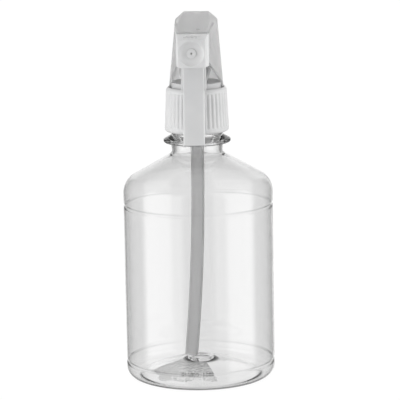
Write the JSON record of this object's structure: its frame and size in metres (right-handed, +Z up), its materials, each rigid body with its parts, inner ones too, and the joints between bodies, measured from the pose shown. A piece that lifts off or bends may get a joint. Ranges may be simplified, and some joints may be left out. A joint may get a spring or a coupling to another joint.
{
  "type": "spray bottle",
  "caption": "Clear round bottle with a white hand trigger sprayer, screw closure, curved dip tube and a square turning nozzle.",
  "frame": {"origin": "centre of the ring the bottle stands on, on the bottle's axis", "axes": "+Z up along the bottle's axis, -Y the way the nozzle sprays, +X to the right of someone who faces the nozzle with +Z up"},
  "size_m": [0.0734, 0.0827, 0.1798],
  "materials": {
    "clear_pet": "clear blown PET, glossy",
    "white_pp": "white moulded polypropylene, satin",
    "milky_pe": "milky extruded polyethylene tube",
    "seal_pe": "soft polyethylene seal",
    "seal_rubber": "moulded rubber ring",
    "spring_steel": "bright stainless steel"
  },
  "bodies": {
    "bottle": {"bottle": "clear_pet"},
    "gasket": {"neck_gasket": "seal_pe"},
    "closure": {"closure": "white_pp"},
    "sprayer": {"pump_body": "white_pp", "shroud": "white_pp", "tube_retainer": "white_pp", "dip_tube": "milky_pe", "return_spring": "spring_steel", "outlet_spring": "spring_steel", "swirl_core": "white_pp", "nozzle_seal": "seal_rubber", "barrel_plug": "white_pp"},
    "trigger": {"trigger": "white_pp"},
    "piston": {"piston": "white_pp", "piston_seal": "seal_pe", "vent_seal": "seal_pe"},
    "inlet_ball": {"inlet_ball": "spring_steel"},
    "outlet_valve": {"outlet_valve": "seal_pe"},
    "nozzle": {"nozzle_cap": "white_pp", "orifice_insert": "white_pp"}
  },
  "joints": [
    {"name": "head_lift", "type": "slide", "parent": "bottle", "child": "gasket", "axis": [0, 0, 1], "range_m": [0, 0.00634]},
    {"name": "closure_turn", "type": "hinge", "parent": "gasket", "child": "closure", "pos_m": [0, 0, 0.135], "axis": [0, 0, 1], "range_deg": [0, 541]},
    {"name": "head_swivel", "type": "hinge", "parent": "gasket", "child": "sprayer", "pos_m": [0, 0, 0.1417], "axis": [0, 0, 1], "continuous": true},
    {"name": "trigger_squeeze", "type": "hinge", "parent": "sprayer", "child": "trigger", "pos_m": [0, -0.022, 0.1685], "axis": [1, 0, 0], "range_deg": [0, 16], "stiffness_Nm_per_rad": 0.17, "springref_deg": -24.64},
    {"name": "piston_slide", "type": "slide", "parent": "sprayer", "child": "piston", "axis": [0, 1, 0], "range_m": [0, 0.00405], "deforming": ["return_spring"]},
    {"name": "inlet_ball_lift", "type": "slide", "parent": "sprayer", "child": "inlet_ball", "axis": [0, 0, 1], "range_m": [0, 0.0008]},
    {"name": "outlet_valve_lift", "type": "slide", "parent": "sprayer", "child": "outlet_valve", "axis": [0, -1, 0], "range_m": [0, 0.0006], "stiffness_N_per_m": 50, "springref_m": -0.002, "deforming": ["outlet_spring"]},
    {"name": "nozzle_turn", "type": "hinge", "parent": "sprayer", "child": "nozzle", "pos_m": [0, -0.039, 0.1665], "axis": [0, -1, 0], "continuous": true}
  ],
  "couplings": [
    {"joint": "closure_turn", "follows": "head_lift", "rad_per_m": 1485.4},
    {"joint": "piston_slide", "follows": "trigger_squeeze", "m_per_rad": 0.0145}
  ]
}
